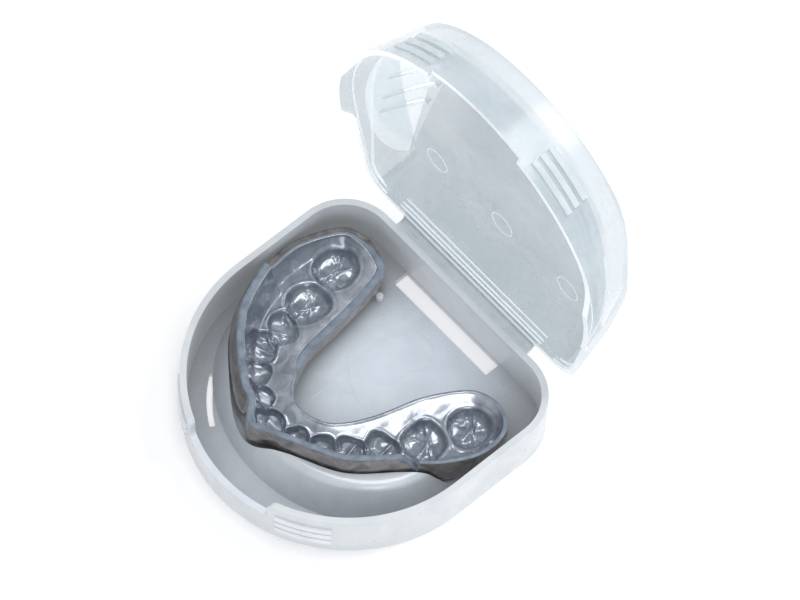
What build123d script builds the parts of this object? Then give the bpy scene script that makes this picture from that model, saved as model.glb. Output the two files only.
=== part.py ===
"""Mouthguard in a hinged plastic case.

Frame: millimetres, +Z up, origin at the centre of the case's flat underside.
+X is across the case, the hinge is at +Y and the thumb notch is at -Y.
The lid stands open, 88.5 degrees from closed.
"""
import os
from math import cos, radians, sin, tan

from build123d import *

os.makedirs("parts", exist_ok=True)

# ---------------------------------------------------------------- base dimensions
HALF_WIDTH = 38.0            # also the radius of the round front
REAR_Y = 34.0                # outer face of the rear wall
REAR_CORNER = 13.0
RIM_Z = 13.75
WALL = 1.6
FLOOR = 1.5
FOOT_CHAMFER = 0.8

NOTCH_HALF = 13.3            # thumb notch in the front rim
NOTCH_DEPTH = 5.0
NOTCH_ROUND = 1.2
REAR_SLOT = (31.8, 4.2)      # drain slot beside the rear wall
REAR_SLOT_Y = 30.2
ARC_SLOT_RADIUS = 31.3       # two drain slots along the front wall
ARC_SLOT_WIDTH = 1.4
ARC_SLOT_SPAN = (28.0, 53.0)  # degrees from the front

GRIP_SPAN = (23.7, 43.3)     # degrees from the front, for bars and ribs
GRIP_COUNT = 3
BAR_LOWEST_Z = 5.0
BAR_PITCH = 2.4
BAR_HEIGHT = 1.7
BAR_PROUD = 0.5

SUPPORT_FOOT = (33.5, 28.3)  # half axes of the support's foot
SUPPORT_RUN = 4.5            # how far its sides lean in from foot to crest
SUPPORT_CREST_Z = 10.5
SUPPORT_ROUND = 2.5
SUPPORT_SEAT_Z = 4.2         # the guard's seat
SUPPORT_REAR_Y = 12.0
PEG_RADIUS = 0.9
PEG_HEIGHT = 1.6
PEG_AT = (-14.9, 22.9)

# ---------------------------------------------------------------- hinge and lid dimensions
HINGE_Y, HINGE_Z = 35.8, 13.4     # axis of the living hinge
HINGE_HALF = 22.2
LEAF_THICK = 0.9
LEAF_REACH = 1.2             # how far each leaf stands out of its wall
WEB_THICK = 0.35
LID_OPEN = 88.5              # degrees from closed, as it stands
RIM_GAP = 0.2                # between the rims when closed

LID_RADIUS = 41.5            # round front, at the rim
LID_CENTRE = 35.4            # centre of that round, from the lid's rear edge
LID_TAPER = 12.0             # degrees that the sides close towards the hinge
LID_CORNER = 8.0
LID_DEPTH = 12.0             # outer depth from rim to panel
LID_WALL = 1.5
PANEL_THICK = 2.0
LID_DRAFT = 0.24             # inset of the skirt for each mm of depth
LID_REAR_DRAFT = 0.29        # the same for its rear wall
BORDER_DEPTH = 16.0          # the skirt stands past the panel as a border round the front
BORDER_SPAN = (36.0, 60.0)   # where it leaves the panel and where it is full
LIP_DEPTH = 3.0              # side lips that overlap the base
LIP_SPAN = (22.0, 28.0, 43.0, 55.0)   # where each lip starts, is full, and ends
RECESS_HALF = 14.5           # shallower rim at the lid's front
RECESS_DEPTH = 1.2
RIB_LOWEST = 2.4
RIB_PITCH = 2.7
RIB_WIDTH = 1.4
RIB_PROUD = 0.5
# the sloping facet between skirt and panel, at its rear and 41 mm further forward:
# (panel edge's half width, junction's half width, junction's depth) of its inner face
FACET_REAR = (32.0, 37.0, 1.2)
FACET_FRONT = (24.0, 37.5, 6.9)
FACET_REAR_AT, FACET_FRONT_AT = 3.0, 44.0
FACET_SECTIONS = (-4.0, 66.0)     # the facet's cut runs between these, past both ends of the lid
FACET_RUN_ON = (6.0, 12.0)        # and past the panel's edge and the junction
FACET_CLEAR = (60.0, 30.0)        # the outer corner of that cut
# air slots in each facet: skirt end and panel end, as (half width, distance from rear)
VENTS = [((35.6, 24.2), (26.3, 35.2)), ((35.3, 30.0), (22.9, 47.0)), ((34.8, 38.3), (21.0, 57.0))]
VENT_WIDTHS = (0.6, 1.5)     # at the skirt end and the panel end

# ---------------------------------------------------------------- mouthguard dimensions
GUARD_TURN = -7.5            # degrees that the guard lies turned in the case
GUARD_CENTRE = (-1.6, 0.2)
GUARD_SEAT_GAP = 0.25
GUARD_NEST_GAP = 0.4         # between the guard and the crest around it
GUARD_WALL = 2.2
GUARD_FLOOR = 1.0            # each layer under the teeth
GUARD_ARM_Z = 11.2           # flange height along the arms
GUARD_FRONT_Z = 16.0         # flange height around the front
GUARD_TONGUE_Z = 9.5         # height of the edge on the tongue side
GUARD_STEP_ALONG = 0.5       # where the flange steps down to the arms
# plan of the guard in its own directions, between the rear ends of its two arms
GUARD_LIP_SIDE = [
    (-25, 24.8), (-33.0, 19.5), (-35.2, 11), (-33.2, -1), (-26, -13), (-14.9, -20.8),
    (0, -25.9), (11.7, -19.7), (20.4, -13.4), (27, -3), (32.1, 5), (34.6, 13), (33.4, 21),
    (25.5, 25.4),
]
GUARD_TONGUE_SIDE = [
    (25.5, 25.4), (17.6, 21), (14.2, 13), (12.2, 1.6), (9.0, -7.5), (0, -12.6),
    (-7.8, -6), (-11.1, 3.5), (-13.6, 13), (-17, 22), (-25, 24.8),
]
PALATE_EDGE = slice(2, 9)    # the stretch of the tongue side that bounds the palate
PALATE_REAR = (18.0, 45.0)   # half width and place of the palate's open end
# tooth sockets of one side, from the midline back: across, along, diameter
TEETH = [
    (3.4, -19.2, 6.2), (9.2, -17.0, 5.4), (14.0, -13.2, 6.0), (17.4, -8.0, 5.8),
    (19.6, -1.6, 6.2), (22.6, 6.0, 9.2), (25.2, 15.8, 9.8),
]
SOCKET_DEPTH = 0.6

BEYOND = 100.0               # a reach past every piece, for cuts that run right out


# ---------------------------------------------------------------- outlines
def case_outline(inset=0.0):
    """Plan of the base: a round front, straight sides and rounded rear corners."""
    radius = HALF_WIDTH - inset
    rear = REAR_Y - inset
    with BuildSketch() as outline:
        with BuildLine():
            CenterArc((0, 0), radius, 180, 180)
            Polyline((radius, 0), (radius, rear), (-radius, rear), (-radius, 0))
        make_face()
        fillet(outline.vertices().group_by(Axis.Y)[-1], REAR_CORNER - inset)
    return outline.sketch


def support_outline(inset=0.0):
    """Plan of the arch support: half an ellipse in front, straight sides behind."""
    half_x, half_y = [half - inset for half in SUPPORT_FOOT]
    rear = SUPPORT_REAR_Y - inset
    with BuildSketch() as outline:
        Ellipse(half_x, half_y)
        with Locations((0, half_y)):
            Rectangle(2 * half_x, 2 * half_y, mode=Mode.SUBTRACT)
        with Locations((0, rear / 2)):
            Rectangle(2 * half_x, rear)
    return outline.sketch


def lid_outline(inset, rear_inset):
    """Plan of the lid from its rear edge: tapered sides and a round front."""
    radius = LID_RADIUS - inset
    taper = radians(LID_TAPER)
    side = (radius * cos(taper), LID_CENTRE - radius * sin(taper))
    rear_x = side[0] - (side[1] - rear_inset) * tan(taper)
    with BuildSketch() as outline:
        with BuildLine():
            CenterArc((0, LID_CENTRE), radius, -LID_TAPER, 180 + 2 * LID_TAPER)
            Polyline(side, (rear_x, rear_inset), (-rear_x, rear_inset), (-side[0], side[1]))
        make_face()
        fillet(outline.vertices().group_by(Axis.Y)[0], LID_CORNER - inset)
    return outline.sketch


def lid_level(depth, wall=0.0):
    """Plan of the lid at a depth from its rim, inside a wall."""
    return lid_outline(wall + LID_DRAFT * depth, wall + LID_REAR_DRAFT * depth)


def ring_sector(inner, outer, span, centre_y=0.0, front=270.0):
    """The same part of a flat ring on both sides of the front."""
    sweep = span[1] - span[0]
    with BuildSketch() as sectors:
        for middle in (front + sum(span) / 2, front - sum(span) / 2):
            with BuildLine():
                near = CenterArc((0, centre_y), inner, middle - sweep / 2, sweep)
                far = CenterArc((0, centre_y), outer, middle - sweep / 2, sweep)
                Line(near @ 0, far @ 0)
                Line(near @ 1, far @ 1)
            make_face()
    return sectors.sketch


def beside(points, margin):
    """The points of a line moved to its right by a margin; both its ends head to -X."""
    neighbours = zip(points[:-2], points[2:])
    headings = [(Vector(*later) - Vector(*earlier)).normalized() for earlier, later in neighbours]
    headings = [Vector(-1, 0), *headings, Vector(-1, 0)]
    return [
        (point[0] + heading.Y * margin, point[1] - heading.X * margin)
        for point, heading in zip(points, headings)
    ]


def guard_outline(grow=0.0):
    """Plan of the guard in its own directions: an arch with two round ends."""
    lip_side = beside(GUARD_LIP_SIDE, grow)
    tongue_side = beside(GUARD_TONGUE_SIDE, grow)
    with BuildSketch() as outline:
        with BuildLine():
            Spline(*lip_side[1:-1])
            ThreePointArc(lip_side[-2], lip_side[-1], tongue_side[1])
            Spline(*tongue_side[1:-1])
            ThreePointArc(tongue_side[-2], tongue_side[-1], lip_side[1])
        make_face()
    return outline.sketch


def palate_outline(grow=0.0):
    """The open space inside the arch, running out behind the arms."""
    with BuildSketch() as outline:
        with BuildLine():
            edge = Spline(*beside(GUARD_TONGUE_SIDE, -grow)[PALATE_EDGE])
            rear_half, rear_y = PALATE_REAR[0] + grow, PALATE_REAR[1]
            Polyline(edge @ 1, (-rear_half, rear_y), (rear_half, rear_y), edge @ 0)
        make_face()
    return outline.sketch


def guard_level(z):
    """The guard's own plane, turned in the case, at a height above the underside."""
    turn = radians(GUARD_TURN)
    return Plane(origin=(*GUARD_CENTRE, z), x_dir=(cos(turn), sin(turn), 0))


# ---------------------------------------------------------------- the lid's plane
def opened(y, z):
    """Where a point of the closed lid goes when the lid opens."""
    turn = radians(LID_OPEN)
    dy, dz = y - HINGE_Y, z - HINGE_Z
    return HINGE_Y + dy * cos(turn) + dz * sin(turn), HINGE_Z - dy * sin(turn) + dz * cos(turn)


# local X runs to -X, local Y from the hinge to the lid's front, local Z from rim to panel
lid_plane = Plane(
    origin=(0, *opened(REAR_Y, RIM_Z + RIM_GAP)),
    x_dir=(-1, 0, 0),
    z_dir=(0, sin(radians(LID_OPEN)), cos(radians(LID_OPEN))),
)
lid_side = Plane(origin=lid_plane.origin, x_dir=lid_plane.y_dir, z_dir=lid_plane.x_dir)


def lid_section(distance):
    """The plane across the lid at a distance from its rear edge."""
    origin = lid_plane.from_local_coords(Vector(0, distance, 0))
    return Plane(origin=origin, x_dir=lid_plane.x_dir, z_dir=-lid_plane.y_dir)


def facet_outline(distance, outward, side):
    """Section of the space outside one facet, at a distance from the lid's rear edge."""
    share = (distance - FACET_REAR_AT) / (FACET_FRONT_AT - FACET_REAR_AT)
    panel_x, junction_x, junction_depth = [
        rear + share * (front - rear) for rear, front in zip(FACET_REAR, FACET_FRONT)
    ]
    panel_depth = LID_DEPTH - PANEL_THICK
    along = Vector(junction_x - panel_x, junction_depth - panel_depth).normalized()
    normal = Vector(-along.Y, along.X) * outward
    top = Vector(panel_x, panel_depth) + normal - along * FACET_RUN_ON[0]
    bottom = Vector(junction_x, junction_depth) + normal + along * FACET_RUN_ON[1]
    corners = [top, bottom, Vector(*FACET_CLEAR), Vector(top.X, FACET_CLEAR[1])]
    with BuildSketch() as section:
        with BuildLine():
            Polyline(*[(side * corner.X, corner.Y) for corner in corners], close=True)
        make_face()
    return section.sketch


def facet_cut(outward):
    """Two bodies that cut the facets, moved outward by a wall's thickness."""
    with BuildPart() as cut:
        for side in (1, -1):
            for distance in FACET_SECTIONS:
                with BuildSketch(lid_section(distance)):
                    add(facet_outline(distance, outward, side))
            loft()
    return cut.part


# ---------------------------------------------------------------- base
with BuildPart() as base_shell:
    add(case_outline())
    extrude(amount=RIM_Z)
    chamfer(base_shell.faces().sort_by(Axis.Z)[0].edges(), FOOT_CHAMFER)
    with BuildSketch(Plane.XY.offset(FLOOR)):
        add(case_outline(WALL))
    extrude(amount=RIM_Z, mode=Mode.SUBTRACT)
    with BuildSketch(Plane.XZ.offset(HALF_WIDTH / 2)):
        with Locations((0, RIM_Z)):
            Rectangle(2 * NOTCH_HALF, 2 * NOTCH_DEPTH)
    extrude(amount=HALF_WIDTH, mode=Mode.SUBTRACT)
    notch_corners = (
        base_shell.edges()
        .filter_by(lambda edge: abs(abs(edge.center().X) - NOTCH_HALF) < 0.1)
        .filter_by(lambda edge: edge.length < 2 * WALL)
    )
    fillet(notch_corners, NOTCH_ROUND)
    with BuildSketch(Plane.XY):
        with Locations((0, REAR_SLOT_Y)):
            Rectangle(*REAR_SLOT)
        half = ARC_SLOT_WIDTH / 2
        add(ring_sector(ARC_SLOT_RADIUS - half, ARC_SLOT_RADIUS + half, ARC_SLOT_SPAN))
    extrude(amount=2 * FLOOR, mode=Mode.SUBTRACT)
base_shell.part.label = "base_shell"

with BuildPart() as arch_support:
    with BuildSketch(Plane.XY.offset(FLOOR)):
        add(support_outline())
    with BuildSketch(Plane.XY.offset(SUPPORT_CREST_Z)):
        add(support_outline(SUPPORT_RUN))
    loft()
    fillet(arch_support.faces().sort_by(Axis.Z)[-1].edges(), SUPPORT_ROUND)
    with BuildSketch(guard_level(SUPPORT_SEAT_Z)):
        add(guard_outline(GUARD_NEST_GAP))
    extrude(amount=SUPPORT_CREST_Z, mode=Mode.SUBTRACT)
    with BuildSketch(guard_level(FLOOR)):
        add(palate_outline(GUARD_WALL))
    extrude(amount=SUPPORT_CREST_Z, mode=Mode.SUBTRACT)
arch_support.part.label = "arch_support"

with BuildPart() as floor_peg:
    with BuildSketch(Plane.XY.offset(FLOOR)):
        with Locations(PEG_AT):
            Circle(PEG_RADIUS)
    extrude(amount=PEG_HEIGHT)
    fillet(floor_peg.faces().sort_by(Axis.Z)[-1].edges(), PEG_RADIUS / 3)
floor_peg.part.label = "floor_peg"

with BuildPart() as base_grip_bars:
    for level in range(GRIP_COUNT):
        with BuildSketch(Plane.XY.offset(BAR_LOWEST_Z + level * BAR_PITCH - BAR_HEIGHT / 2)):
            add(ring_sector(HALF_WIDTH, HALF_WIDTH + BAR_PROUD, GRIP_SPAN))
        extrude(amount=BAR_HEIGHT)
base_grip_bars.part.label = "base_grip_bars"

with BuildPart() as base_hinge_leaf:
    with BuildSketch(Plane.XY.offset(HINGE_Z - LEAF_THICK)):
        with Locations((0, REAR_Y + LEAF_REACH / 2)):
            Rectangle(2 * HINGE_HALF, LEAF_REACH)
    extrude(amount=LEAF_THICK)
base_hinge_leaf.part.label = "base_hinge_leaf"

# ---------------------------------------------------------------- lid
inner_facets = facet_cut(0)

with BuildPart() as above_panel:
    with BuildSketch(lid_plane.offset(LID_DEPTH)):
        with Locations((0, LID_CENTRE)):
            Rectangle(BEYOND, BEYOND)
    extrude(amount=BORDER_DEPTH)
outer_space = above_panel.part + facet_cut(LID_WALL)

with BuildPart() as lid_body:
    with BuildSketch(lid_plane.offset(-LIP_DEPTH)):
        add(lid_level(-LIP_DEPTH))
    with BuildSketch(lid_plane.offset(BORDER_DEPTH)):
        add(lid_level(BORDER_DEPTH))
    loft()

with BuildPart() as lid_cavity:
    with BuildSketch(lid_plane.offset(-LIP_DEPTH)):
        add(lid_level(-LIP_DEPTH, LID_WALL))
    with BuildSketch(lid_plane.offset(LID_DEPTH - PANEL_THICK)):
        add(lid_level(LID_DEPTH - PANEL_THICK, LID_WALL))
    loft()
    add(inner_facets, mode=Mode.SUBTRACT)

with BuildPart() as lid_recess:
    with BuildSketch(lid_plane.offset(-LIP_DEPTH)):
        add(lid_level(-LIP_DEPTH, LID_WALL))
    with BuildSketch(lid_plane.offset(BORDER_DEPTH + PANEL_THICK)):
        add(lid_level(BORDER_DEPTH + PANEL_THICK, LID_WALL))
    loft()
    add(outer_space, mode=Mode.INTERSECT)

with BuildPart() as lid_shell:
    add(lid_body.part)
    add(lid_cavity.part, mode=Mode.SUBTRACT)
    add(lid_recess.part, mode=Mode.SUBTRACT)
    with BuildSketch(lid_side):
        with BuildLine():
            border = Spline(
                (BORDER_SPAN[0], LID_DEPTH), (BORDER_SPAN[1], BORDER_DEPTH),
                tangents=[(1, 0), (1, 0)],
            )
            Polyline(
                border @ 1, (BEYOND, BORDER_DEPTH), (BEYOND, BEYOND), (-BEYOND, BEYOND),
                (-BEYOND, LID_DEPTH), border @ 0,
            )
        make_face()
    extrude(amount=BEYOND, both=True, mode=Mode.SUBTRACT)
    with BuildSketch(lid_side):
        with BuildLine():
            lip_start, lip_full, lip_fade, lip_end = LIP_SPAN
            lip = Spline(
                (lip_start, 0), (lip_full, -LIP_DEPTH), (lip_fade, -LIP_DEPTH), (lip_end, 0),
                tangents=[(1, 0), (1, 0)],
            )
            Polyline(
                lip @ 1, (BEYOND, 0), (BEYOND, -BEYOND), (-BEYOND, -BEYOND), (-BEYOND, 0), lip @ 0
            )
        make_face()
    extrude(amount=BEYOND, both=True, mode=Mode.SUBTRACT)
    with BuildSketch(lid_plane):
        with Locations((0, LID_CENTRE + LID_RADIUS)):
            Rectangle(2 * RECESS_HALF, LID_RADIUS)
    extrude(amount=RECESS_DEPTH, mode=Mode.SUBTRACT)
    with BuildSketch(lid_plane.offset(RECESS_DEPTH)):
        for side in (1, -1):
            for skirt_end, panel_end in VENTS:
                start = Vector(side * skirt_end[0], skirt_end[1])
                end = Vector(side * panel_end[0], panel_end[1])
                across = (end - start).normalized().rotate(Axis.Z, 90) / 2
                corners = [
                    start + across * VENT_WIDTHS[0], end + across * VENT_WIDTHS[1],
                    end - across * VENT_WIDTHS[1], start - across * VENT_WIDTHS[0],
                ]
                with BuildLine():
                    Polyline(*corners, close=True)
                make_face()
    extrude(amount=LID_DEPTH, mode=Mode.SUBTRACT)
lid_shell.part.label = "lid_shell"

with BuildPart() as lid_grip_ribs:
    for level in range(GRIP_COUNT):
        depth = RIB_LOWEST + level * RIB_PITCH
        radius = LID_RADIUS - LID_DRAFT * depth
        with BuildSketch(lid_plane.offset(depth)):
            add(ring_sector(radius - RIB_PROUD, radius + RIB_PROUD, GRIP_SPAN, LID_CENTRE, 90))
        extrude(amount=RIB_WIDTH)
    add(lid_body.part, mode=Mode.SUBTRACT)
lid_grip_ribs.part.label = "lid_grip_ribs"

with BuildPart() as lid_hinge_leaf:
    with BuildSketch(lid_plane):
        Rectangle(2 * HINGE_HALF, 2 * LEAF_REACH)
    extrude(amount=LEAF_THICK)
    add(lid_body.part, mode=Mode.SUBTRACT)
lid_hinge_leaf.part.label = "lid_hinge_leaf"

with BuildPart() as hinge_web:
    with BuildSketch(Plane.YZ):
        with BuildLine():
            web_low = HINGE_Z - LEAF_THICK / 2
            web_high = RIM_Z + RIM_GAP + LEAF_THICK / 2
            leaf_end = REAR_Y + LEAF_REACH
            half = WEB_THICK / 2
            Polyline(
                (leaf_end, web_low - half), (leaf_end, web_low + half),
                opened(leaf_end, web_high - half), opened(leaf_end, web_high + half),
                close=True,
            )
        make_face()
    extrude(amount=HINGE_HALF, both=True)
hinge_web.part.label = "hinge_web"

# ---------------------------------------------------------------- mouthguard
guard_bottom = SUPPORT_SEAT_Z + GUARD_SEAT_GAP
tooth_floor = guard_bottom + 2 * GUARD_FLOOR

with BuildPart() as guard_outer_layer:
    with BuildSketch(guard_level(guard_bottom)):
        add(guard_outline())
    extrude(amount=GUARD_FRONT_Z - guard_bottom)
    with BuildSketch(guard_level(GUARD_ARM_Z)):
        with Locations((0, GUARD_STEP_ALONG + BEYOND / 2)):
            Rectangle(BEYOND, BEYOND)
    extrude(amount=GUARD_FRONT_Z, mode=Mode.SUBTRACT)
    with BuildSketch(guard_level(GUARD_TONGUE_Z)):
        add(palate_outline(2 * GUARD_WALL))
    extrude(amount=GUARD_FRONT_Z, mode=Mode.SUBTRACT)
    with BuildSketch(guard_level(guard_bottom + GUARD_FLOOR)):
        add(guard_outline(-GUARD_WALL))
    extrude(amount=GUARD_FRONT_Z, mode=Mode.SUBTRACT)
guard_outer_layer.part.label = "guard_outer_layer"

with BuildPart() as guard_inner_layer:
    with BuildSketch(guard_level(guard_bottom + GUARD_FLOOR)):
        add(guard_outline(-GUARD_WALL))
    extrude(amount=GUARD_FLOOR)
    with BuildSketch(guard_level(tooth_floor - SOCKET_DEPTH)):
        for side in (1, -1):
            for across, along, diameter in TEETH:
                with Locations((side * across, along)):
                    Circle(diameter / 2)
    extrude(amount=GUARD_FLOOR, mode=Mode.SUBTRACT)
guard_inner_layer.part.label = "guard_inner_layer"

# ---------------------------------------------------------------- files
pieces = [
    base_shell, arch_support, floor_peg, base_grip_bars, base_hinge_leaf, hinge_web,
    lid_shell, lid_grip_ribs, lid_hinge_leaf, guard_outer_layer, guard_inner_layer,
]
for piece in pieces:
    export_step(piece.part, f"parts/{piece.part.label}.step")
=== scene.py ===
"""Looks of a mouthguard lying in its open case: materials, guard mesh, hinge film, light, camera."""
from math import cos, pi, radians, sin

import bmesh
import bpy
import numpy as np
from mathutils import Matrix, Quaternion, Vector


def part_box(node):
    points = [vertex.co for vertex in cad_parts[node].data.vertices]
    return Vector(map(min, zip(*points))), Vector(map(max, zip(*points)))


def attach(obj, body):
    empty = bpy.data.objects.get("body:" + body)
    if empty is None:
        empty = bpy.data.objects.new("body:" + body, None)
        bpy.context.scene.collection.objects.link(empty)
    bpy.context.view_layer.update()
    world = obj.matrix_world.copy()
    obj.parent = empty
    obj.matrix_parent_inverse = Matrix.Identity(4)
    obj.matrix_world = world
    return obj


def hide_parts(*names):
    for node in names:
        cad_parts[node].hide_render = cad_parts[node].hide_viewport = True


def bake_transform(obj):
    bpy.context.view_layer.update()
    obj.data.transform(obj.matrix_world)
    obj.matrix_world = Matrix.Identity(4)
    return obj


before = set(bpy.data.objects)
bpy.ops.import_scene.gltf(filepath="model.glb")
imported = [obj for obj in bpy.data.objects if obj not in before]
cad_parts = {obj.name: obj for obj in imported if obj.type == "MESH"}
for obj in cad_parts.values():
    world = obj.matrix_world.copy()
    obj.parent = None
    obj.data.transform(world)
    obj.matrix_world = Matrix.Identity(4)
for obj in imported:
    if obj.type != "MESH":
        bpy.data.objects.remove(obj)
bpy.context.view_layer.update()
MM = 0.001      # the frame is in metres, and the sizes of pieces in this script are in millimetres


# ------------------------------------------------------------------ node helpers
def new_material(name):
    """A material with an empty node tree, its output and its Principled shader."""
    material = bpy.data.materials.new(name)
    material.use_nodes = True
    tree = material.node_tree
    tree.nodes.clear()
    output = tree.nodes.new("ShaderNodeOutputMaterial")
    shader = tree.nodes.new("ShaderNodeBsdfPrincipled")
    tree.links.new(shader.outputs["BSDF"], output.inputs["Surface"])
    return material, tree, shader


def object_coordinates(tree):
    """Coordinates that move with the piece."""
    return tree.nodes.new("ShaderNodeTexCoord").outputs["Object"]


def noise(tree, size, detail=3.0, roughness=0.5, distortion=0.0):
    """A noise texture whose features are about `size` millimetres."""
    node = tree.nodes.new("ShaderNodeTexNoise")
    tree.links.new(object_coordinates(tree), node.inputs["Vector"])
    node.inputs["Scale"].default_value = 1 / (size * MM)
    node.inputs["Detail"].default_value = detail
    node.inputs["Roughness"].default_value = roughness
    node.inputs["Distortion"].default_value = distortion
    return node.outputs["Fac"]


def spread(tree, value, low, high, start=0.3, end=0.7):
    """The value's middle range stretched to run from low to high."""
    node = tree.nodes.new("ShaderNodeMapRange")
    node.inputs["From Min"].default_value = start
    node.inputs["From Max"].default_value = end
    node.inputs["To Min"].default_value = low
    node.inputs["To Max"].default_value = high
    tree.links.new(value, node.inputs["Value"])
    return node.outputs["Result"]


def mixed_colour(tree, value, first, second):
    """The first colour where the value is 0, the second where it is 1."""
    node = tree.nodes.new("ShaderNodeMix")
    node.data_type = "RGBA"
    node.inputs[6].default_value = (*first, 1)
    node.inputs[7].default_value = (*second, 1)
    tree.links.new(value, node.inputs[0])
    return node.outputs[2]


def bump(tree, shader, *layers):
    """Bump from (height value, depth in millimetres) layers, one on another."""
    normal = None
    for value, depth in layers:
        node = tree.nodes.new("ShaderNodeBump")
        node.inputs["Strength"].default_value = 1.0
        node.inputs["Distance"].default_value = depth * MM
        tree.links.new(value, node.inputs["Height"])
        if normal is not None:
            tree.links.new(normal, node.inputs["Normal"])
        normal = node.outputs["Normal"]
    tree.links.new(normal, shader.inputs["Normal"])


OCCLUSION_REACH = 16.0


def paint_occlusion_shade(tree, colour, darkest, start, end):
    """The colour with painted shade in corners and under other pieces, where little light reaches.

    It is darkest where openness is below start, and unchanged where openness is above end.
    """
    node = tree.nodes.new("ShaderNodeAmbientOcclusion")
    node.samples = 8
    node.inputs["Distance"].default_value = OCCLUSION_REACH * MM
    product = tree.nodes.new("ShaderNodeMix")
    product.data_type = "RGBA"
    product.blend_type = "MULTIPLY"
    product.inputs[0].default_value = 1.0
    tree.links.new(colour, product.inputs[6])
    tree.links.new(spread(tree, node.outputs["AO"], darkest, 1.0, start, end), product.inputs[7])
    return product.outputs[2]


def moulded_plastic(name, pale, deep, alpha, roughness, cloud=9.0, shine=0.25, ripple=0.03,
                    glow=0.0, shade_in_corners=None):
    """Moulded polypropylene: cloudy flow marks, fine haze and a softly rippled surface.

    Cloud is the size of the flow marks and ripple the depth of the surface's waves. Glow is painted
    light that stands for the light the plastic scatters, and the last argument holds the painted shade in
    corners.
    """
    material, tree, shader = new_material(name)
    clouds = noise(tree, cloud, 4, 0.55, 0.6)
    haze = noise(tree, 1.6, 3, 0.6)
    colour = mixed_colour(tree, spread(tree, clouds, 0, 1), deep, pale)
    if shade_in_corners:
        colour = paint_occlusion_shade(tree, colour, *shade_in_corners)
    tree.links.new(colour, shader.inputs["Base Color"])
    tree.links.new(spread(tree, haze, roughness - 0.03, roughness + 0.04),
                   shader.inputs["Roughness"])
    tree.links.new(spread(tree, clouds, alpha[0], alpha[1]), shader.inputs["Alpha"])
    shader.inputs["IOR"].default_value = 1.49
    shader.inputs["Coat Weight"].default_value = shine
    shader.inputs["Coat Roughness"].default_value = 0.15
    if glow:
        shader.inputs["Emission Color"].default_value = (0.94, 0.98, 1.0, 1)
        shader.inputs["Emission Strength"].default_value = glow
    bump(tree, shader, (noise(tree, 18, 2), ripple))
    return material


# ------------------------------------------------------------------ materials
base_plastic = moulded_plastic(
    "frosted_polypropylene", (0.84, 0.87, 0.89), (0.79, 0.825, 0.85), (0.86, 0.94), 0.30
)
# the inside of the base's wall and its floor: deeper tones than the outside, painted shade for the shaded
# inside,
# with painted shade in the corners and a faint painted glow
inner_base_plastic = moulded_plastic(
    "frosted_polypropylene_inside", (0.72, 0.76, 0.82), (0.65, 0.70, 0.76), (0.90, 0.96), 0.34,
    glow=0.12, shade_in_corners=(0.30, 0.05, 0.7)
)
# the floor's painted shade is deeper and reaches further, a painted shadow beside the guard's arms
floor_plastic = moulded_plastic(
    "frosted_polypropylene_floor", (0.77, 0.82, 0.90), (0.70, 0.76, 0.84), (0.90, 0.96), 0.30,
    glow=0.10, shade_in_corners=(0.16, 0.30, 0.76)
)
# the hump: painted shade at its foot and under the guard
hump_plastic = moulded_plastic(
    "frosted_polypropylene_hump", (0.84, 0.88, 0.93), (0.76, 0.81, 0.86), (0.93, 0.97), 0.24,
    cloud=7.0, shine=0.8, shade_in_corners=(0.55, 0.05, 0.7)
)
# the panel: deeper than the skirt, painted shade for the upright panel, which takes less light
shaded_panel_plastic = moulded_plastic(
    "shade_painted_lid_panel", (0.41, 0.51, 0.57), (0.33, 0.43, 0.49), (0.40, 0.50), 0.20,
    cloud=12.0, shine=0.3
)
skirt_plastic = moulded_plastic(
    "milky_lid_skirt", (0.66, 0.73, 0.77), (0.55, 0.63, 0.68), (0.36, 0.48), 0.22,
    cloud=14.0, shine=0.3
)
# the left cheek: paler and glowing, painted light where the light from the right falls
lit_cheek_plastic = moulded_plastic(
    "light_painted_lid_cheek", (0.80, 0.87, 0.90), (0.68, 0.76, 0.80), (0.34, 0.46), 0.20,
    cloud=12.0, shine=0.3, glow=0.26
)
# pale and glowing: a painted highlight for the light the plastic carries to its edges
highlight_plastic = moulded_plastic(
    "highlight_painted_lid_edge", (0.93, 0.96, 0.98), (0.85, 0.90, 0.93), (0.86, 0.95), 0.24, glow=0.28
)
grip_plastic = moulded_plastic(
    "satin_polypropylene", (0.90, 0.92, 0.94), (0.84, 0.87, 0.90), (0.85, 0.92), 0.34, glow=0.06
)
lid_grip_plastic = moulded_plastic(
    "clear_lid_ribs", (0.84, 0.90, 0.92), (0.74, 0.81, 0.84), (0.55, 0.70), 0.26
)
film_plastic = moulded_plastic(
    "creased_polypropylene", (0.82, 0.87, 0.90), (0.70, 0.76, 0.80), (0.80, 0.92), 0.26, cloud=8.0
)


def laminate(name, pale, deep, roughness, metallic, swirl_depth, shaded=False):
    """Thick glossy laminate, thermoformed over the teeth; its swirl of deep and pale tone is painted
    reflection, standing for its internal reflections.

    A shaded one also takes its tone from the mesh's shade attribute, which holds painted shade and
    painted highlight, and has a fuller coat.
    """
    material, tree, shader = new_material(name)
    swirl = noise(tree, 4.0, 3, 0.5, 1.0)
    tone = spread(tree, swirl, 0.35, 1)
    if shaded:
        attribute = tree.nodes.new("ShaderNodeAttribute")
        attribute.attribute_name = "shade"
        product = tree.nodes.new("ShaderNodeMath")
        product.operation = "MULTIPLY"
        tree.links.new(tone, product.inputs[0])
        tree.links.new(attribute.outputs["Fac"], product.inputs[1])
        tone = product.outputs["Value"]
    tree.links.new(mixed_colour(tree, tone, deep, pale), shader.inputs["Base Color"])
    tree.links.new(spread(tree, noise(tree, 3.5, 2), roughness, roughness + 0.05),
                   shader.inputs["Roughness"])
    shader.inputs["Metallic"].default_value = metallic
    shader.inputs["IOR"].default_value = 1.6
    shader.inputs["Coat Weight"].default_value = 1.0 if shaded else 0.5
    shader.inputs["Coat Roughness"].default_value = 0.05
    bump(tree, shader, (swirl, swirl_depth))
    return material


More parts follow.
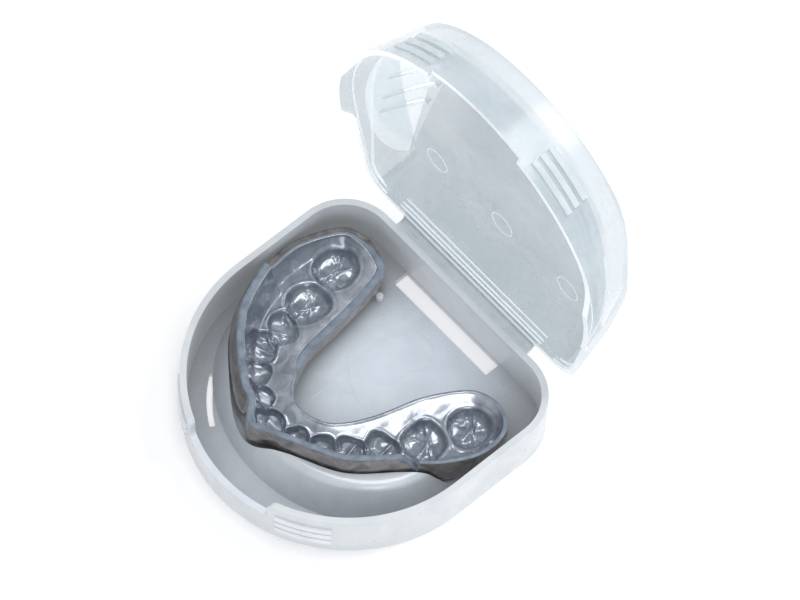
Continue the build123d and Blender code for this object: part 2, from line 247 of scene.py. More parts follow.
inner_laminate = laminate(
    "clear_laminate", (0.72, 0.76, 0.82), (0.10, 0.13, 0.18), 0.22, 0.50, 0.05, shaded=True
)
outer_laminate = laminate(
    "smoke_laminate", (0.36, 0.33, 0.32), (0.02, 0.018, 0.02), 0.14, 0.45, 0.12
)


def cut_edge():
    """The laminate's ground edge: matt, pale blue-grey, with fine scratches."""
    material, tree, shader = new_material("ground_laminate_edge")
    grain = noise(tree, 0.35, 4, 0.7)
    patches = noise(tree, 2.2, 3, 0.6)
    colour = mixed_colour(tree, spread(tree, patches, 0, 1), (0.17, 0.21, 0.27), (0.30, 0.35, 0.42))
    tree.links.new(colour, shader.inputs["Base Color"])
    tree.links.new(spread(tree, grain, 0.42, 0.62), shader.inputs["Roughness"])
    shader.inputs["IOR"].default_value = 1.5
    bump(tree, shader, (grain, 0.04), (patches, 0.03))
    return material


edge_laminate = cut_edge()

NODE_MATERIALS = {
    "base_shell": base_plastic, "arch_support": hump_plastic, "floor_peg": grip_plastic,
    "base_grip_bars": grip_plastic, "base_hinge_leaf": film_plastic,
    "lid_shell": skirt_plastic, "lid_grip_ribs": lid_grip_plastic, "lid_hinge_leaf": film_plastic,
}
for node_name, material in NODE_MATERIALS.items():
    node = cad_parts[node_name]
    node.data.materials.clear()
    node.data.materials.append(material)


# the lid's material slots, and where its faces change from one to the next
SKIRT, PANEL, EDGE, CHEEK = range(4)
RIM_REACH = 6.0             # the rim's faces are this near the lid's lowest y
CHEEK_START = 3.0           # the cheeks begin this deep in the lid
HINGE_WALL_REACH = 20.0     # the wall beside the hinge is this near the lid's lowest point
# how squarely a face of each kind looks along z or y
HINGE_WALL_FACING, PANEL_FACING, RIM_FACING, CHEEK_FACING = 0.8, 0.985, 0.6, 0.38


def lid_slot(normal, across, depth, height):
    """The material slot of a face of the lid, from its direction and its place in metres."""
    on_rim = depth < RIM_REACH * MM
    if abs(normal.z) > HINGE_WALL_FACING and height < HINGE_WALL_REACH * MM:
        return PANEL
    if abs(normal.y) > PANEL_FACING:
        return EDGE if on_rim else PANEL
    if normal.y < -RIM_FACING and on_rim:
        return EDGE
    if abs(normal.y) > CHEEK_FACING and depth > CHEEK_START * MM and across < 0:
        return CHEEK
    return SKIRT


def part_lid():
    """The lid's panel, its rim and its left cheek take materials of their own: painted shade, a painted
    highlight and painted light.
    """
    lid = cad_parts["lid_shell"]
    for material in (shaded_panel_plastic, highlight_plastic, lit_cheek_plastic):
        lid.data.materials.append(material)
    low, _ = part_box("lid_shell")
    for polygon in lid.data.polygons:
        normal = (lid.matrix_world.to_3x3() @ polygon.normal).normalized()
        place = lid.matrix_world @ polygon.center
        polygon.material_index = lid_slot(normal, place.x, place.y - low.y, place.z - low.z)


# the base's material slots, and the heights that part its floor and its rim
OUTSIDE, INSIDE, FLOOR = range(3)
FLOOR_LOW, FLOOR_HIGH = 1.0, 2.0
RIM_BAND = 0.3
LEVEL_FACING = 0.7          # a face that looks up or down by more than this is level


def part_base():
    """The base's floor and the inside of its wall take deeper tones than its outside: painted shade for
    the case's shaded inside.
    """
    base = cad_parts["base_shell"]
    for material in (inner_base_plastic, floor_plastic):
        base.data.materials.append(material)
    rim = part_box("base_shell")[1].z - RIM_BAND * MM
    for polygon in base.data.polygons:
        normal = polygon.normal
        centre = base.matrix_world @ polygon.center
        level = abs(normal.z) > LEVEL_FACING
        inward = normal.x * centre.x + normal.y * centre.y < 0
        if level and FLOOR_LOW * MM < centre.z < FLOOR_HIGH * MM:
            polygon.material_index = FLOOR
        elif centre.z < rim and (centre.z > FLOOR_LOW * MM if level else inward):
            polygon.material_index = INSIDE
        else:
            polygon.material_index = OUTSIDE


part_lid()
part_base()


# ------------------------------------------------------------------ geometry helpers
def smooth_line(points, closed=False):
    """A cubic through 2-D points, as a function of a parameter that counts the points."""
    points = np.array(points, float)
    count = len(points)
    matrix = np.zeros((count, count))
    right = np.zeros((count, 2))
    for i in range(count):
        if closed or 0 < i < count - 1:
            matrix[i, (i - 1) % count] += 1
            matrix[i, i] += 4
            matrix[i, (i + 1) % count] += 1
            right[i] = 3 * (points[(i + 1) % count] - points[i - 1])
        else:
            other = 1 if i == 0 else count - 2
            matrix[i, i], matrix[i, other] = 2, 1
            right[i] = 3 * (points[other] - points[i]) * (1 if i == 0 else -1)
    slopes = np.linalg.solve(matrix, right)

    def at(parameter):
        """The line's points at an array of parameters."""
        parameter = np.asarray(parameter, float)
        i = np.floor(parameter).astype(int)
        i = i % count if closed else np.clip(i, 0, count - 2)
        t = (parameter - np.floor(parameter))[:, None] if closed else (parameter - i)[:, None]
        a, b = points[i], points[(i + 1) % count]
        da, db = slopes[i], slopes[(i + 1) % count]
        return (
            a * (2 * t**3 - 3 * t**2 + 1) + da * (t**3 - 2 * t**2 + t)
            + b * (3 * t**2 - 2 * t**3) + db * (t**3 - t**2)
        )

    return at


def ease(x, start, end):
    """0 before start, 1 after end, and a smooth step between."""
    t = np.clip((x - start) / (end - start), 0, 1)
    return t * t * (3 - 2 * t)


def rigid_mesh(name, vertices, faces, materials, indices=None):
    """A smooth-shaded mesh object from millimetre points."""
    mesh = bpy.data.meshes.new(name)
    mesh.from_pydata([tuple(v) for v in np.asarray(vertices) * MM], [], faces)
    for material in materials:
        mesh.materials.append(material)
    if indices is not None:
        mesh.polygons.foreach_set("material_index", np.asarray(indices, np.int32))
    mesh.polygons.foreach_set("use_smooth", [True] * len(mesh.polygons))
    mesh.validate()
    made = bpy.data.objects.new(name, mesh)
    bpy.context.scene.collection.objects.link(made)
    return made


def face_outward(made, merge=None):
    """Points the faces of a closed mesh outward, after merging points nearer than `merge`."""
    edit = bmesh.new()
    edit.from_mesh(made.data)
    if merge:
        bmesh.ops.remove_doubles(edit, verts=edit.verts, dist=merge * MM)
    bmesh.ops.recalc_face_normals(edit, faces=edit.faces)
    edit.to_mesh(made.data)
    edit.free()


# ------------------------------------------------------------------ mouthguard
GUARD_TURN = radians(-7.5)
GUARD_CENTRE = np.array([-1.6, 0.2])
GUARD_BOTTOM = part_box("guard_outer_layer")[0].z / MM
# heights of the edge, and of the channel that the teeth press into
ARM_TOP, RIGHT_ARM_TOP, STEP_FOOT, FRONT_TOP, TONGUE_TOP = 11.2, 13.4, 9.6, 15.9, 9.5
CHANNEL_Z = 7.9
MIDLINE_DIP, MIDLINE_X = 2.7, 0.5
LEAST_FLOOR = 1.05          # laminate left under the deepest socket
LINER = 0.5                 # thickness of the clear liner
LINER_GAP = 0.02            # between the liner and the tray
PER_STATION, PER_END = 22, 18           # points in each span of the sides and of the round ends
BAND_ROWS, WELL_ROWS = 4, 33            # rows of points over the ground edge and down the inside
# the rounding from the underside to the outer wall: inset, rise
FOOT_ROUND = ((1.2, 0.0), (0.55, 0.25), (0.15, 0.8), (0.0, 1.6))
MERGE = 0.02                # points nearer than this become one
# matching places on the lip side and the tongue side, from the left arm round to the right arm
STATIONS = [
    ((-33.0, 19.5), (-17.0, 22.0)), ((-35.2, 11.0), (-13.6, 13.0)), ((-34.7, 4.8), (-12.2, 8.0)),
    ((-33.2, -1.0), (-11.1, 3.5)), ((-30.1, -7.3), (-9.8, -1.6)), ((-26.0, -13.0), (-7.8, -6.0)),
    ((-20.7, -17.3), (-4.9, -9.9)), ((-14.9, -20.8), (-2.8, -11.7)), ((-7.3, -24.2), (-1.2, -12.4)),
    ((0.0, -25.9), (0.6, -12.6)), ((5.8, -23.4), (2.6, -12.2)), ((11.7, -19.7), (5.0, -11.2)),
    ((16.2, -16.7), (7.2, -9.7)), ((20.4, -13.4), (9.0, -7.5)), ((24.0, -8.4), (10.9, -3.2)),
    ((27.0, -3.0), (12.2, 1.6)), ((29.6, 1.2), (12.9, 6.0)), ((32.1, 5.0), (13.4, 9.6)),
    ((34.6, 13.0), (14.6, 14.2)), ((33.4, 21.0), (17.6, 21.0)),
]
RIGHT_END = [(30.0, 24.4), (25.5, 25.4), (20.9, 24.2)]
LEFT_END = [(-20.8, 24.3), (-25.0, 24.8), (-29.8, 23.4)]
# sockets: across, along, half size along the arch, half size across it, turn in degrees, cusps
TEETH = [
    (-25.0, 14.6, 5.5, 5.3, 70, 4), (-20.9, 4.3, 5.4, 5.4, 68, 4), (-18.9, -3.9, 3.5, 4.8, 62, 2),
    (-17.3, -10.2, 3.4, 4.4, 50, 2), (-12.6, -15.2, 3.4, 3.6, 38, 1), (-6.6, -18.2, 3.2, 3.3, 24, 0),
    (-0.2, -19.6, 3.5, 3.2, 4, 0), (6.3, -17.4, 3.2, 3.3, -26, 0), (11.6, -13.6, 3.2, 3.5, -42, 1),
    (15.6, -8.6, 3.3, 4.0, -56, 2), (18.9, -2.2, 3.5, 4.4, -62, 2), (22.9, 6.6, 5.3, 5.2, -66, 4),
    (25.7, 17.0, 5.2, 5.2, -76, 4),
]


def socket_depth(x, y):
    """Depth of the tooth impressions below the channel, their raised rims, and where painted dark
    outlines lie on their walls.
    """
    depth = np.zeros_like(x)
    rim = np.zeros_like(x)
    wall = np.zeros_like(x)
    for number, (cx, cy, half_along, half_across, turn, cusps) in enumerate(TEETH):
        c, s = cos(radians(turn)), sin(radians(turn))
        u = ((x - cx) * c + (y - cy) * s) / half_along
        v = (-(x - cx) * s + (y - cy) * c) / half_across
        angle = np.arctan2(v, u)
        lobes = 1 + 0.035 * np.cos(4 * angle + number) + 0.03 * np.sin(3 * angle + 2.1 * number)
        r = (np.abs(u) ** 2.4 + np.abs(v) ** 2.4) ** (1 / 2.4) / lobes
        inside = 1 - ease(r, 0.74, 1.0)
        bowl = inside * (1.5 + 0.35 * (1 - np.clip(r, 0, 1) ** 2))
        bend = 0.16 * np.sin(3.1 * v + number)
        if cusps == 4:
            for su, sv, size in ((1, 1, 0.8), (1, -1, 0.5), (-1, 1, 0.6), (-1, -1, 0.85)):
                hole = np.exp(-(((u - 0.42 * su + bend) / 0.27) ** 2 + ((v - 0.38 * sv) / 0.25) ** 2))
                bowl += size * hole * inside
            fissures = (
                np.exp(-((u - bend) / 0.075) ** 2) * (0.6 + 0.4 * np.sin(4 * v + number))
                + np.exp(-((v + 0.5 * bend - 0.18 * u) / 0.07) ** 2) * (0.6 + 0.4 * np.cos(5 * u))
                + 0.6 * np.exp(-((v - 0.9 * u - 0.25) / 0.06) ** 2)
            )
            bowl -= 0.42 * np.clip(fissures, 0, 1.2) * inside
        elif cusps == 2:
            for sv in (1, -1):
                bowl += 0.7 * np.exp(-((u / 0.4) ** 2 + ((v - 0.45 * sv) / 0.28) ** 2)) * inside
            bowl -= 0.35 * np.exp(-((v + 0.9 * bend + 0.2 * u) / 0.08) ** 2) * inside
        elif cusps == 1:
            bowl += 0.7 * np.exp(-((u / 0.5) ** 2 + (v / 0.5) ** 2)) * inside
        else:
            bowl += 0.5 * np.exp(-((v - 0.1) / 0.35) ** 2) * inside
        depth = np.maximum(depth, bowl)
        rim = np.maximum(rim, np.exp(-((r - 1.05) / 0.05) ** 2))
        wall = np.maximum(wall, np.exp(-((r - 0.93) / 0.055) ** 2))
        wall = np.maximum(wall, 0.7 * np.exp(-((r - 1.15) / 0.03) ** 2))
    return depth, rim, wall


def arch_plan():
    """Outline, spine beside each point of it, directions inward and shares of the lip side."""
    lip_side = [lip for lip, _ in STATIONS]
    tongue_side = [tongue for _, tongue in STATIONS]
    loop = smooth_line(lip_side + RIGHT_END + tongue_side[::-1] + LEFT_END, True)
    last = len(STATIONS) - 1
    end_spans = len(RIGHT_END) + 1
    first_tongue = last + end_spans
    side = np.linspace(0, last, last * PER_STATION + 1)
    end = np.linspace(0, end_spans, end_spans * PER_END + 1)[1:-1]
    outline = loop(np.concatenate([side, last + end, first_tongue + side, first_tongue + last + end]))
    # straighter sides beside the sharp corner at the midline
    beside = np.exp(-((np.abs(outline[:, 0]) - 4.2) / 2.6) ** 2) * (outline[:, 1] < -17)
    outline[:, 1] += 0.9 * beside
    # a spine that stops short of the round ends
    spine_at = np.concatenate([side, np.full(len(end), last), last - side, np.zeros(len(end))])
    spine_at = np.clip(spine_at, 0.35, last - 0.35)
    spine = (smooth_line(lip_side)(spine_at) + smooth_line(tongue_side)(spine_at)) / 2
    heading = np.roll(outline, -1, 0) - np.roll(outline, 1, 0)
    heading /= np.linalg.norm(heading, axis=1)[:, None]
    inward = np.stack([-heading[:, 1], heading[:, 0]], 1)
    fade = ease(np.arange(1, len(end) + 1), 0, len(end) + 1)
    lip_share = np.concatenate([np.ones(len(side)), 1 - fade, np.zeros(len(side)), fade])
    return outline, spine, inward, lip_share


def edge_heights(outline, lip_share):
    """The edge's height: arms, a step on each side, and a front that dips at the midline."""
    x, y = outline.T
    # the dip is steeper on the left of the midline
    dip_width = np.where(x < MIDLINE_X, 2.4, 5.5)
    front = FRONT_TOP - MIDLINE_DIP * np.exp(-((x - MIDLINE_X) / dip_width) ** 2)
    front = front + 0.12 * np.sin(x * 0.9)
    left = ARM_TOP + (front - ARM_TOP) * (1 - ease(y, -0.9, -0.4))
    # the right step slopes down like a saw tooth, and stands up again at the arm
    slope = np.interp(y, [-2.6, 0.4], [0, 1])
    right = front + (STEP_FOOT - front) * slope
    right = np.where(y > 0.7, RIGHT_ARM_TOP - 1.6 * ease(y, 6, 20), right)
    rightward = ease(x, 2, 6)
    lip_top = left * (1 - rightward) + right * rightward
    return lip_top * lip_share + TONGUE_TOP * (1 - lip_share)


def edge_band(outline, lip_share):
    """How far the edge leans inward, and how wide its ground band is.

    The lean is larger on the left. The band is wide round the front, narrow on the lip side of the
    arms, and on the tongue side it is wide along the left arm only.
    """
    x, y = outline.T
    lean = (0.15 + 1.5 * (1 - ease(x, -6.0, -1.0))) * ease(lip_share, 0.0, 0.8)
    left_arm = ease(-x, 5.5, 8.5) * (y > -9)
    lip_band = np.where(y > -0.6, 0.35 + 0.5 * ease(x, 2, 6), 1.70 - 0.35 * ease(x, -2, 4))
    band = lip_band * lip_share + (0.3 + 1.7 * left_arm) * (1 - lip_share)
    return lean, band


def upper_rows(outline, spine, inward, lip_share, top):
    """Rows of plan points and heights, over the band and down to the spine.

    The surface drops a little at once inside the band, then eases down to the channel.
    """
    lean, band = edge_band(outline, lip_share)
    inner = outline + inward * lean[:, None]
    rows = [(inner + inward * (band * step)[:, None], top) for step in np.linspace(0, 1, BAND_ROWS)]
    edge = rows[-1][0]
    drop = 3.4 * lip_share + 6.0 * (1 - lip_share)
    drop = np.minimum(drop, np.linalg.norm(spine - inner, axis=1) * 0.8)
    first_fall = ease(np.zeros(len(outline)), -0.6 * drop, drop)
    for step in np.linspace(0, 1, WELL_ROWS + 1)[1:]:
        spot = edge + (spine - edge) * step
        gone = np.linalg.norm(spot - edge, axis=1)
        sharp = ease(gone, 0, 0.5) * 0.16
        fall = sharp + (1 - sharp) * ease(gone, -0.6 * drop, drop)
        fall = np.clip(fall - first_fall * (1 - ease(gone, 0, drop)), 0, 1)
        rows.append((spot, top + (CHANNEL_Z - top) * fall))
    return rows


def in_case(points, z):
    """Points of the guard's own plan, turned as it lies in the case."""
    c, s = cos(GUARD_TURN), sin(GUARD_TURN)
    x = points[:, 0] * c - points[:, 1] * s + GUARD_CENTRE[0]
    y = points[:, 0] * s + points[:, 1] * c + GUARD_CENTRE[1]
    return np.stack([x, y, np.broadcast_to(z, x.shape)], 1)


def crumple(x, y):
    """Smooth, low waves left by the teeth and the forming."""
    waves = 0.12 * np.sin(0.55 * x + 0.4 * y) * np.sin(0.5 * y - 0.3 * x + 1.0)
    waves += 0.035 * np.sin(1.5 * x - 0.9 * y + 2.0) * np.sin(1.2 * y + 0.8 * x)
    return waves


def surface_rows(rows, top, lip_share, lowered):
    """Rows of 3-D points of the guard's upper side with the sockets in it, and their shades."""
    made, shades = [], []
    for number, (points, z) in enumerate(rows):
        shade = np.ones(len(points))
        if number >= BAND_ROWS:
            x, y = points.T
            depth, rim, wall = socket_depth(x, y)
            low = np.clip((top - z) / np.maximum(top - CHANNEL_Z, 0.1), 0, 1)
            z = z - depth * (0.25 + 0.75 * low) + 0.16 * rim * low + crumple(x, y) * low
            z = np.maximum(z, GUARD_BOTTOM + LEAST_FLOOR) - lowered
            # painted shade and highlight: a darker lip-side wall, a lighter tongue-side slope, darker
            # sockets, dark outlines and bright rims
            shade = lip_share * (0.16 + 0.34 * low) + (1 - lip_share) * (1.1 - 0.52 * low)
            shade = shade * (1 - 0.26 * np.clip(depth, 0, 1)) + 0.22 * np.clip(depth - 1.6, 0, 1)
            shade = shade * (1 - 0.62 * wall * (0.3 + 0.7 * low)) + 0.18 * rim * low
        made.append(in_case(points, z))
        shades.append(shade)
    return made, shades


def closed_object(name, strips, materials, strip_materials, shades=None):
    """A closed mesh from closed rows of points, each row joined to the next by quads."""
    count = len(strips[0])
    faces, indices = [], []
    for k in range(len(strips) - 1):
        first, second = k * count, (k + 1) * count
        for i in range(count):
            j = (i + 1) % count
            faces.append((first + i, first + j, second + j, second + i))
            indices.append(strip_materials[k])
    made = rigid_mesh(name, np.concatenate(strips), faces, materials, indices)
    if shades is not None:
        shade = made.data.attributes.new("shade", "FLOAT", "POINT")
        shade.data.foreach_set("value", np.concatenate(shades).astype(np.float32))
    face_outward(made, MERGE)
    return made


def outer_rows(outline, spine, inward, lip_share, top):
    """Rows of 3-D points from the middle of the guard's underside up its outer wall."""
    lean, _ = edge_band(outline, lip_share)
    made = [
        in_case(outline + (spine - outline) * step, GUARD_BOTTOM) for step in (1.0, 0.75, 0.5, 0.25, 0.12)
    ]
    made += [in_case(outline + inward * inset, GUARD_BOTTOM + rise) for inset, rise in FOOT_ROUND]
    foot = GUARD_BOTTOM + FOOT_ROUND[-1][1]
    waist = np.minimum(top, ARM_TOP) - 0.5
    made += [in_case(outline, foot + (waist - foot) * share) for share in (0.35, 0.7, 1.0)]
    for share in (0.3, 0.6, 0.85, 0.97):
        leaning = outline + inward * (lean * share ** 0.8)[:, None]
        made.append(in_case(leaning, waist + (top - waist) * share))
    return made


def make_guard():
    """The smoke tray and the clear liner that lies in it."""
    outline, spine, inward, lip_share = arch_plan()
    top = edge_heights(outline, lip_share)
    rows = upper_rows(outline, spine, inward, lip_share, top)
    outside = outer_rows(outline, spine, inward, lip_share, top)
    inside, _ = surface_rows(rows, top, lip_share, LINER + LINER_GAP)
    outside_strips = len(outside) - 1
    tray = closed_object(
        "guard_tray", outside + inside, [outer_laminate, edge_laminate],
        [0] * outside_strips + [1] * BAND_ROWS + [0] * WELL_ROWS,
    )
    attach(tray, "mouthguard")
    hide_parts("guard_outer_layer")

    over, shades = surface_rows(rows, top, lip_share, 0.0)
    over, shades = over[BAND_ROWS - 1:], shades[BAND_ROWS - 1:]
    strips = [row - np.array([0, 0, LINER]) for row in reversed(over)] + over
    liner = closed_object(
        "guard_liner", strips, [inner_laminate], [0] * (len(strips) - 1), shades[::-1] + shades
    )
    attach(liner, "mouthguard")
    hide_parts("guard_inner_layer")


make_guard()


# ------------------------------------------------------------------ moulded marks, and beads for painted highlights
# rear edge of the lid's rim, as it stands open
LID_ORIGIN_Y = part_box("lid_hinge_leaf")[0].y / MM
LID_ORIGIN_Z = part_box("lid_shell")[0].z / MM
LID_LEAN = radians(1.5)         # how far short of upright the lid stands
PANEL_INSIDE = 10.0             # depth of the panel's inner face
LID_WALL = 1.5
LID_DRAFT = 0.24                # inset of the side wall for each millimetre of depth
REAR_DRAFT = 0.29               # the same for the wall beside the hinge
LID_TAPER = 0.2126              # how fast the straight sides close towards the hinge
# inside of the lid's wall at the rim, across and along: the round front, the straight side
# where it starts, and the rear corner with its radius
ROUND_RADIUS, ROUND_CENTRE = 40.0, 35.4
SIDE_HALF, SIDE_START = 39.1, 26.8
CORNER_CENTRE, CORNER_RADIUS = (28.4, 8.0), 6.5
CORNER_TURN = (radians(-14), radians(-90))
LINES_SPAN = (50.0, 6.7)        # the side lines' straight stretch, along, from the front
CORNER_ALONG = 6.0              # the place whose depth the corner keeps
RIM_TILT = 0.5                  # how far the side lines face the open rim
RING_ROW, RING_PLACES, RING_RADIUS = 13.8, (-22.0, 0.0, 22.0), 3.3
HINGE_LINES, HINGE_LINES_HALF = (0.7, 1.5, 2.6), 24.0       # their depths, and half their length


def lid_point(x, along, depth):
    """A point of the lid from its own directions: across, from hinge to front, rim to panel."""
    c, s = cos(LID_LEAN), sin(LID_LEAN)
    return (x, LID_ORIGIN_Y + depth * c - along * s, LID_ORIGIN_Z + along * c + depth * s)


# a bead's section, across and up, for a width and a height of 1
BEAD_SECTION = [
    (-0.5, -0.4), (-0.42, 0.45), (-0.2, 0.9), (0, 1), (0.2, 0.9), (0.42, 0.45), (0.5, -0.4),
]


def bead(path, normals, width, height, closed):
    """Vertices and faces of a low rounded ridge along a 3-D path."""
    path, normals = np.array(path, float), np.array(normals, float)
    heading = np.gradient(path, axis=0)
    if closed:
        heading = np.roll(path, -1, 0) - np.roll(path, 1, 0)
    heading /= np.linalg.norm(heading, axis=1)[:, None]
    across = np.cross(heading, normals)
    sides, steps = len(BEAD_SECTION), len(path)
    vertices = [
        path[i] + across[i] * u * width + normals[i] * v * height
        for i in range(steps) for u, v in BEAD_SECTION
    ]
    faces = []
    for i in range(steps if closed else steps - 1):
        j = (i + 1) % steps
        for k in range(sides):
            m = (k + 1) % sides
            faces.append((i * sides + k, i * sides + m, j * sides + m, j * sides + k))
    if not closed:
        faces.append(tuple(range(sides)))
        faces.append(tuple(reversed(range((steps - 1) * sides, steps * sides))))
    return vertices, faces


def bead_object(name, beads, material, body):
    """One piece from several beads, moulded marks or highlight beads, on the same body."""
    vertices, faces = [], []
    for made_vertices, made_faces in beads:
        start = len(vertices)
        vertices += [tuple(v) for v in made_vertices]
        faces += [tuple(start + index for index in face) for face in made_faces]
    made = rigid_mesh(name, vertices, faces, [material])
    face_outward(made)
    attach(made, body)


def circle(x, y, radius, steps=72):
    """Points round a circle."""
    turns = [2 * pi * i / steps for i in range(steps)]
    return [(x + radius * cos(t), y + radius * sin(t)) for t in turns]


def ejector_rings():
    """The rings that the ejector pins leave on the inside of the lid's panel."""
    towards_inside = tuple(np.subtract(lid_point(0, 0, -1), lid_point(0, 0, 0)))
    rings = []
    for place in RING_PLACES:
        path = [
            lid_point(x, along, PANEL_INSIDE) for x, along in circle(place, RING_ROW, RING_RADIUS)
        ]
        rings.append(bead(path, [towards_inside] * len(path), width=0.34, height=0.09, closed=True))
    # the rings take the glowing highlight material: real marks with a painted highlight
    bead_object("lid_ejector_rings", rings, highlight_plastic, "lid")


def wall_track(depth_at):
    """Along the inside of the lid's side wall and round its rear corner: across, along, depth."""
    track = []
    for along in np.linspace(*LINES_SPAN, 60):
        depth = depth_at(along)
        if along < SIDE_START:
            half = SIDE_HALF - LID_DRAFT * depth - (SIDE_START - along) * LID_TAPER
        else:
            radius = ROUND_RADIUS - LID_DRAFT * depth
            half = (radius ** 2 - (along - ROUND_CENTRE) ** 2) ** 0.5
        track.append((half, along, depth))
    depth = depth_at(CORNER_ALONG)
    for turn in np.linspace(*CORNER_TURN, 20):
        half = CORNER_CENTRE[0] - LID_DRAFT * depth + CORNER_RADIUS * cos(turn)
        track.append((half, CORNER_CENTRE[1] + CORNER_RADIUS * sin(turn), depth))
    return track


def cheek_line_depth(along):
    """Depth of the line where the cheek meets the side wall."""
    return 0.9 + 0.139 * (along - 3.0)


def rim_line_depth(along):
    """Depth of the line just inside the rim, the same all along."""
    return 0.35


def wall_bead(hand, depth_at, width, height):
    """A bead on the inside of the lid's side wall, on the hand -1 or 1."""
    track = np.array(wall_track(depth_at))
    heading = np.gradient(track[:, :2], axis=0)
    heading /= np.linalg.norm(heading, axis=1)[:, None]
    path = [lid_point(hand * x, along, depth) for x, along, depth in track]
    length = (1 + RIM_TILT ** 2) ** 0.5
    normals = [
        np.subtract(lid_point(hand * dy, -dx, -RIM_TILT), lid_point(0, 0, 0)) / length
        for dx, dy in heading
    ]
    return bead(path, normals, width, height, closed=False)


def lid_wall_lines():
    """Bright beads along the lid's inner side walls, painted highlights for the light refracted at the
    cheek's edge and by the rim, and lines moulded across its wall at the hinge, all in the glowing
    highlight material.
    """
    lines = []
    for hand in (-1, 1):
        lines.append(wall_bead(hand, cheek_line_depth, width=0.9, height=0.30))
        lines.append(wall_bead(hand, rim_line_depth, width=0.5, height=0.22))
    for depth in HINGE_LINES:
        places = np.linspace(-HINGE_LINES_HALF, HINGE_LINES_HALF, 30)
        path = [lid_point(x, LID_WALL + REAR_DRAFT * depth, depth) for x in places]
        outward = [(0.0, -REAR_DRAFT, 0.957)] * len(path)
        lines.append(bead(path, outward, width=0.4, height=0.10, closed=False))
    bead_object("lid_wall_beads", lines, highlight_plastic, "lid")


def floor_marks():
    """A ring and two faint lines on the base's floor, inside the guard's arch."""
    floor_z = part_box("arch_support")[0].z / MM
    ring = [(x, y, floor_z) for x, y in circle(0.4, 19.2, 4.9)]
    marks = [bead(ring, [(0, 0, 1)] * len(ring), width=0.22, height=0.05, closed=True)]
    curve = [(-8.1, 7.3), (-2.1, 3.2), (3.3, 1.5), (6.8, 2.0)]
    straight = [(-5.4, -6.6), (-6.5, 14.0)]
    for nodes in (curve, straight):
        track = smooth_line(nodes)(np.linspace(0, len(nodes) - 1.001, 40))
        path = [(x, y, floor_z) for x, y in track]
        marks.append(bead(path, [(0, 0, 1)] * len(path), width=0.22, height=0.05, closed=False))
    bead_object("floor_mould_marks", marks, grip_plastic, "base")


ejector_rings()
lid_wall_lines()
floor_marks()


# ------------------------------------------------------------------ hinge film
FILM_STEPS_ACROSS, FILM_STEPS_ALONG = 24, 30
FILM_HALF_THICK = 0.17


def film_point(start, end, half_width, face_side, i, k):
    """A point of the film's upper or lower face: thinner in the middle, with five low ridges."""
    across = Vector((0, start.z - end.z, end.y - start.y)).normalized()
    share = k / FILM_STEPS_ALONG
    crease = 1 - 0.45 * sin(pi * share) ** 2
    ridge = 0.05 * sin(5 * pi * share) ** 2
    point = start + (end - start) * share + across * face_side * (FILM_HALF_THICK * crease + ridge)
    return (-half_width + 2 * half_width * i / FILM_STEPS_ACROSS, point.y, point.z)


def hinge_film():
    """The thin film between the two hinge leaves, as a straight strip from one to the other."""
    _, web_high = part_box("hinge_web")
    leaf_low, leaf_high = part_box("base_hinge_leaf")
    lid_low, lid_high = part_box("lid_hinge_leaf")
    start = Vector((0, leaf_high.y, (leaf_low.z + leaf_high.z) / 2)) / MM
    end = Vector((0, (lid_low.y + lid_high.y) / 2, lid_low.z)) / MM
    columns, rows = range(FILM_STEPS_ACROSS + 1), range(FILM_STEPS_ALONG + 1)
    vertices = [
        film_point(start, end, web_high.x / MM, face_side, i, k)
        for face_side in (1, -1) for i in columns for k in rows
    ]

    def at(side, i, k):
        """Index of a point on the upper side, 0, or the lower, 1."""
        return (side * len(columns) + i) * len(rows) + k

    faces = []
    for side in (0, 1):
        for i in columns[:-1]:
            for k in rows[:-1]:
                face = (at(side, i, k), at(side, i + 1, k), at(side, i + 1, k + 1), at(side, i, k + 1))
                faces.append(face if side else face[::-1])
    for i in columns[:-1]:
        for k in (rows[0], rows[-1]):
            faces.append((at(0, i, k), at(0, i + 1, k), at(1, i + 1, k), at(1, i, k)))
    for k in rows[:-1]:
        for i in (columns[0], columns[-1]):
            faces.append((at(0, i, k), at(0, i, k + 1), at(1, i, k + 1), at(1, i, k)))
    made = rigid_mesh("hinge_film", vertices, faces, [film_plastic])
    face_outward(made)
    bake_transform(made)
    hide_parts("hinge_web")


hinge_film()


# ------------------------------------------------------------------ studio
FLOOR_REACH = 3000.0
FLOOR_DROP = 0.02           # the floor lies just under the case, so that the two faces don't meet


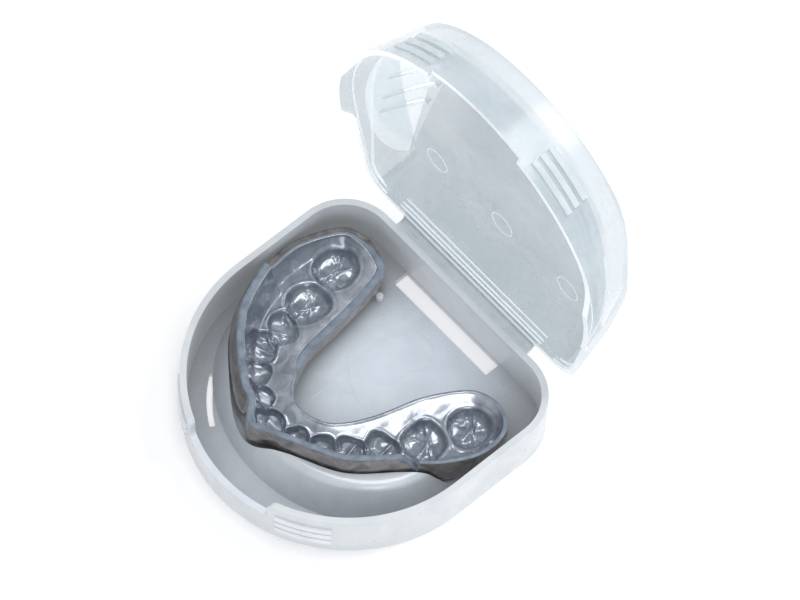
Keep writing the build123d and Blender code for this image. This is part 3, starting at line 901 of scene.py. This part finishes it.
def studio_floor():
    """A plain pale floor."""
    material, _, shader = new_material("studio_floor")
    shader.inputs["Base Color"].default_value = (0.80, 0.80, 0.805, 1)
    shader.inputs["Roughness"].default_value = 0.8
    shader.inputs["Emission Color"].default_value = (1, 1, 1, 1)
    shader.inputs["Emission Strength"].default_value = 0.32
    corners = [
        (x * FLOOR_REACH, y * FLOOR_REACH, -FLOOR_DROP) for x, y in ((-1, -1), (1, -1), (1, 1), (-1, 1))
    ]
    rigid_mesh("studio_floor", corners, [(0, 1, 2, 3)], [material])


studio_floor()

world = bpy.data.worlds.new("studio")
bpy.context.scene.world = world
world.use_nodes = True
backdrop = world.node_tree.nodes["Background"]
backdrop.inputs["Color"].default_value = (0.90, 0.93, 0.97, 1)
backdrop.inputs["Strength"].default_value = 0.47
LIGHTS_AIM = Vector((0, 0.01, 0.02))


def softbox(name, position, size, power):
    """A rectangular area light aimed at the object, placed in metres."""
    light = bpy.data.lights.new(name, "AREA")
    light.shape = "RECTANGLE"
    light.size, light.size_y = size
    light.energy = power
    lamp = bpy.data.objects.new(name, light)
    lamp.location = position
    lamp.rotation_euler = (LIGHTS_AIM - lamp.location).to_track_quat("-Z", "Y").to_euler()
    bpy.context.scene.collection.objects.link(lamp)


softbox("key_back_right", position=(0.20, 0.80, 0.85), size=(0.5, 0.5), power=6.2)
softbox("top_fill", position=(0.0, 0.05, 1.1), size=(0.5, 0.5), power=3.6)
softbox("front_right_strip", position=(0.7, -0.5, 0.5), size=(0.25, 0.7), power=1.5)

# the camera: turned from the front, raised, rolled, and how far from what it looks at, in metres
AZIMUTH, ELEVATION, ROLL = radians(46.34), radians(60.91), radians(2.56)
CAMERA_TARGET = Vector((-0.0041, 0.0191, 0.0200))
CAMERA_DISTANCE = 1.3555
camera_data = bpy.data.cameras.new("camera")
camera_data.lens = 270
camera_data.sensor_width = 36
camera_data.clip_start, camera_data.clip_end = 0.1, 20
camera = bpy.data.objects.new("camera", camera_data)
back = Vector((sin(AZIMUTH) * cos(ELEVATION), -cos(AZIMUTH) * cos(ELEVATION), sin(ELEVATION)))
camera.location = CAMERA_TARGET + back * CAMERA_DISTANCE
camera.rotation_mode = "QUATERNION"
camera.rotation_quaternion = (-back).to_track_quat("-Z", "Y") @ Quaternion((0, 0, 1), ROLL)
bpy.context.scene.collection.objects.link(camera)
bpy.context.scene.camera = camera
bpy.context.scene.view_settings.view_transform = "Standard"
